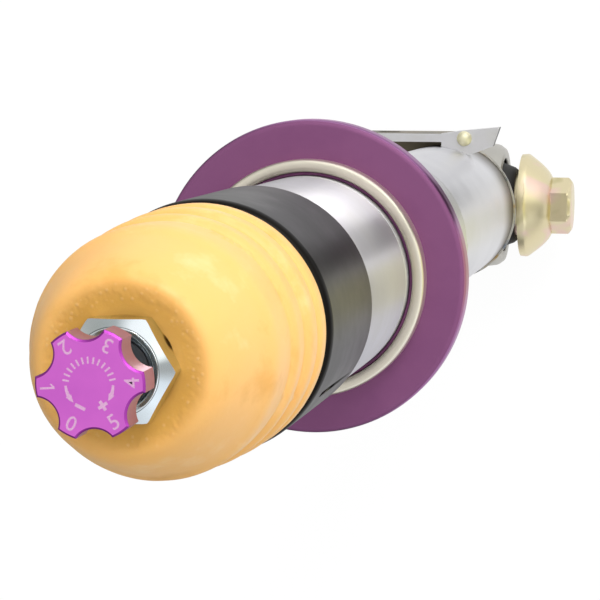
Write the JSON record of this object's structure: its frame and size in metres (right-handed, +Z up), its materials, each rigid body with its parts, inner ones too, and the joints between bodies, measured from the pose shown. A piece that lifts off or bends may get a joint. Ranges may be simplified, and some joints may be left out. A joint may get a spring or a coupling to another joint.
{
  "type": "coilover damper unit",
  "caption": "Height-adjustable strut damper with a threaded spring perch, foam bump stop, lobed adjuster knob and a rubber-bushed lower eye with its bolt.",
  "frame": {"origin": "centre of the lower eye, on the axis of its bolt", "axes": "+Z up the strut towards the adjuster knob, +X along the lower bolt towards its head, +Y to the side of the hose bracket"},
  "size_m": [0.0928, 0.08, 0.4767],
  "materials": {
    "stainless": "polished stainless steel",
    "zinc": "clear zinc plate",
    "yellow_zinc": "yellow zinc plate",
    "dark_steel": "phosphated steel",
    "chrome_rod": "hard chrome",
    "polished_ring": "polished aluminium",
    "aluminium": "machined aluminium",
    "violet_anodised": "satin violet anodised aluminium",
    "bright_violet_anodised": "bright violet anodised aluminium",
    "black_cap": "satin black plastic",
    "foam": "microcellular polyurethane foam",
    "black_rubber": "matt rubber",
    "bronze": "bronze on steel",
    "green_band": "filled plastic band"
  },
  "bodies": {
    "damper_body": {"outer_tube": "stainless", "foot_cap": "stainless", "eye_ring": "stainless", "rubber_bush": "black_rubber", "tube_cap": "black_cap", "gland_ring": "dark_steel", "rod_seal": "black_rubber", "rod_guide": "aluminium", "guide_bush": "bronze", "guide_o_ring": "black_rubber", "inner_tube": "dark_steel", "base_valve_body": "dark_steel", "base_valve_discs": "zinc", "base_valve_bolt": "dark_steel", "hose_bracket": "yellow_zinc", "bracket_rivet": "yellow_zinc"},
    "rod": {"piston_rod": "chrome_rod", "rod_nut": "zinc", "bump_stop": "foam", "rebound_stop": "dark_steel", "piston": "aluminium", "piston_band": "green_band", "rebound_discs": "zinc", "compression_discs": "zinc", "piston_nut": "dark_steel"},
    "adjuster": {"adjuster_knob": "bright_violet_anodised", "adjuster_stem": "zinc"},
    "needle": {"adjuster_needle": "bronze"},
    "locator": {"locator_ring": "polished_ring"},
    "perch": {"spring_perch": "violet_anodised", "perch_lock_screw": "dark_steel"},
    "lower_pin": {"bush_sleeve": "yellow_zinc", "lower_bolt": "yellow_zinc"}
  },
  "joints": [
    {"name": "rod_slide", "type": "slide", "parent": "damper_body", "child": "rod", "axis": [0, 0, 1], "range_m": [0, 0.1798]},
    {"name": "needle_slide", "type": "slide", "parent": "rod", "child": "needle", "axis": [0, 0, 1], "range_m": [-0.000833, 0]},
    {"name": "knob_turn", "type": "hinge", "parent": "rod", "child": "adjuster", "pos_m": [0, 0, 0.45], "axis": [0, 0, 1], "range_deg": [-300, 0]},
    {"name": "perch_lift", "type": "slide", "parent": "damper_body", "child": "locator", "axis": [0, 0, 1], "range_m": [-0.03, 0]},
    {"name": "perch_turn", "type": "hinge", "parent": "locator", "child": "perch", "pos_m": [0, 0, 0.2609], "axis": [0, 0, 1], "range_deg": [-4321, 0]},
    {"name": "bush_twist", "type": "hinge", "parent": "damper_body", "child": "lower_pin", "pos_m": [0, 0, 0], "axis": [1, 0, 0], "range_deg": [-12, 12], "stiffness_Nm_per_rad": 2}
  ],
  "couplings": [
    {"joint": "knob_turn", "follows": "needle_slide", "rad_per_m": 6283.2},
    {"joint": "perch_turn", "follows": "perch_lift", "rad_per_m": 2513.3}
  ]
}
